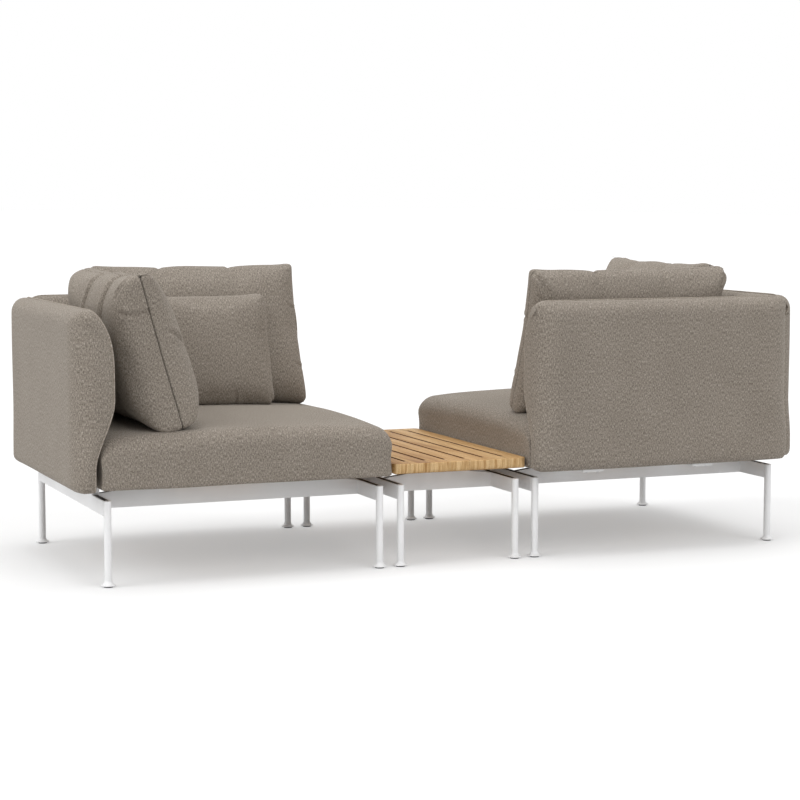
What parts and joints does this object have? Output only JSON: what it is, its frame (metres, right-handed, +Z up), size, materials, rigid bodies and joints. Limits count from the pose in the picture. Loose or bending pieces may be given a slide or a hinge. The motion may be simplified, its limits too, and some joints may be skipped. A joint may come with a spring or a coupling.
{
  "type": "companion seat bench",
  "caption": "Low patio bench of corner seats that face opposite ways, with back and side panels, loose cushions and a slatted teak table between them on a slim white frame.",
  "frame": {"origin": "on the floor under the middle of the table", "axes": "+X along the bench towards the right seat, +Y away from the viewer, +Z up"},
  "size_m": [2.074, 0.899, 0.7768],
  "materials": {
    "batten_metal": "mill finish",
    "bracket_coat": "light powder coat",
    "cushion_fabric": "woven melange, taupe",
    "dark_glide": "matte",
    "dark_strip": "matte",
    "panel_fabric": "woven melange, taupe, light welt along the inner edge",
    "plate_coat": "white satin powder coat",
    "plywood": "sealed plywood",
    "screw_steel": "stainless",
    "seat_fabric": "woven melange, taupe",
    "teak_slat": "sanded teak, unfinished",
    "teak_spacer": "sanded teak, unfinished",
    "white_coat": "white satin powder coat"
  },
  "bodies": {
    "frame": {"frame_screws": "screw_steel", "left_back_panel": "panel_fabric", "left_cross_rail_back": "white_coat", "left_cross_rail_front": "white_coat", "left_leg_arm_back": "white_coat", "left_leg_arm_front": "white_coat", "left_leg_open_back": "white_coat", "left_leg_open_front": "white_coat", "left_panel_brackets": "bracket_coat", "left_seat_battens": "batten_metal", "left_seat_board": "plywood", "left_seat_cushion": "seat_fabric", "left_side_panel": "panel_fabric", "left_side_rail_arm": "white_coat", "left_side_rail_open": "white_coat", "link_plates": "plate_coat", "rail_strips": "dark_strip", "right_back_panel": "panel_fabric", "right_cross_rail_back": "white_coat", "right_cross_rail_front": "white_coat", "right_leg_arm_back": "white_coat", "right_leg_arm_front": "white_coat", "right_leg_open_back": "white_coat", "right_leg_open_front": "white_coat", "right_panel_brackets": "bracket_coat", "right_seat_battens": "batten_metal", "right_seat_board": "plywood", "right_seat_cushion": "seat_fabric", "right_side_panel": "panel_fabric", "right_side_rail_arm": "white_coat", "right_side_rail_open": "white_coat", "table_battens": "batten_metal", "table_cross_rail_far": "white_coat", "table_cross_rail_near": "white_coat", "table_leg_left_far": "white_coat", "table_leg_left_near": "white_coat", "table_leg_right_far": "white_coat", "table_leg_right_near": "white_coat", "table_side_rail_left": "white_coat", "table_side_rail_right": "white_coat", "table_slats": "teak_slat", "table_spacers": "teak_spacer"},
    "left_back_cushion_body": {"left_back_cushion": "cushion_fabric"},
    "left_glide_arm_back_body": {"left_glide_arm_back": "dark_glide"},
    "left_glide_arm_front_body": {"left_glide_arm_front": "dark_glide"},
    "left_glide_open_back_body": {"left_glide_open_back": "dark_glide"},
    "left_glide_open_front_body": {"left_glide_open_front": "dark_glide"},
    "left_scatter_cushion_body": {"left_scatter_cushion": "cushion_fabric"},
    "left_side_cushion_body": {"left_side_cushion": "cushion_fabric"},
    "right_back_cushion_body": {"right_back_cushion": "cushion_fabric"},
    "right_glide_arm_back_body": {"right_glide_arm_back": "dark_glide"},
    "right_glide_arm_front_body": {"right_glide_arm_front": "dark_glide"},
    "right_glide_open_back_body": {"right_glide_open_back": "dark_glide"},
    "right_glide_open_front_body": {"right_glide_open_front": "dark_glide"},
    "right_scatter_cushion_body": {"right_scatter_cushion": "cushion_fabric"},
    "right_side_cushion_body": {"right_side_cushion": "cushion_fabric"},
    "table_glide_left_far_body": {"table_glide_left_far": "dark_glide"},
    "table_glide_left_near_body": {"table_glide_left_near": "dark_glide"},
    "table_glide_right_far_body": {"table_glide_right_far": "dark_glide"},
    "table_glide_right_near_body": {"table_glide_right_near": "dark_glide"}
  },
  "joints": [
    {"name": "left_glide_arm_back_levelling", "type": "slide", "parent": "frame", "child": "left_glide_arm_back_body", "axis": [0, 0, -1], "range_m": [0, 0.008]},
    {"name": "left_glide_arm_front_levelling", "type": "slide", "parent": "frame", "child": "left_glide_arm_front_body", "axis": [0, 0, -1], "range_m": [0, 0.008]},
    {"name": "left_glide_open_back_levelling", "type": "slide", "parent": "frame", "child": "left_glide_open_back_body", "axis": [0, 0, -1], "range_m": [0, 0.008]},
    {"name": "left_glide_open_front_levelling", "type": "slide", "parent": "frame", "child": "left_glide_open_front_body", "axis": [0, 0, -1], "range_m": [0, 0.008]},
    {"name": "right_glide_arm_back_levelling", "type": "slide", "parent": "frame", "child": "right_glide_arm_back_body", "axis": [0, 0, -1], "range_m": [0, 0.008]},
    {"name": "right_glide_arm_front_levelling", "type": "slide", "parent": "frame", "child": "right_glide_arm_front_body", "axis": [0, 0, -1], "range_m": [0, 0.008]},
    {"name": "right_glide_open_back_levelling", "type": "slide", "parent": "frame", "child": "right_glide_open_back_body", "axis": [0, 0, -1], "range_m": [0, 0.008]},
    {"name": "right_glide_open_front_levelling", "type": "slide", "parent": "frame", "child": "right_glide_open_front_body", "axis": [0, 0, -1], "range_m": [0, 0.008]},
    {"name": "table_glide_left_far_levelling", "type": "slide", "parent": "frame", "child": "table_glide_left_far_body", "axis": [0, 0, -1], "range_m": [0, 0.008]},
    {"name": "table_glide_left_near_levelling", "type": "slide", "parent": "frame", "child": "table_glide_left_near_body", "axis": [0, 0, -1], "range_m": [0, 0.008]},
    {"name": "table_glide_right_far_levelling", "type": "slide", "parent": "frame", "child": "table_glide_right_far_body", "axis": [0, 0, -1], "range_m": [0, 0.008]},
    {"name": "table_glide_right_near_levelling", "type": "slide", "parent": "frame", "child": "table_glide_right_near_body", "axis": [0, 0, -1], "range_m": [0, 0.008]},
    {"name": "left_back_cushion_lift", "type": "slide", "parent": "frame", "child": "left_back_cushion_body", "axis": [0, 0, 1], "range_m": [0, 0.3]},
    {"name": "left_side_cushion_lift", "type": "slide", "parent": "frame", "child": "left_side_cushion_body", "axis": [0, 0, 1], "range_m": [0, 0.3]},
    {"name": "left_scatter_cushion_lift", "type": "slide", "parent": "left_back_cushion_body", "child": "left_scatter_cushion_body", "axis": [0, 0, 1], "range_m": [0, 0.3]},
    {"name": "right_back_cushion_lift", "type": "slide", "parent": "frame", "child": "right_back_cushion_body", "axis": [0, 0, 1], "range_m": [0, 0.3]},
    {"name": "right_side_cushion_lift", "type": "slide", "parent": "frame", "child": "right_side_cushion_body", "axis": [0, 0, 1], "range_m": [0, 0.3]},
    {"name": "right_scatter_cushion_lift", "type": "slide", "parent": "right_back_cushion_body", "child": "right_scatter_cushion_body", "axis": [0, 0, 1], "range_m": [0, 0.3]}
  ]
}
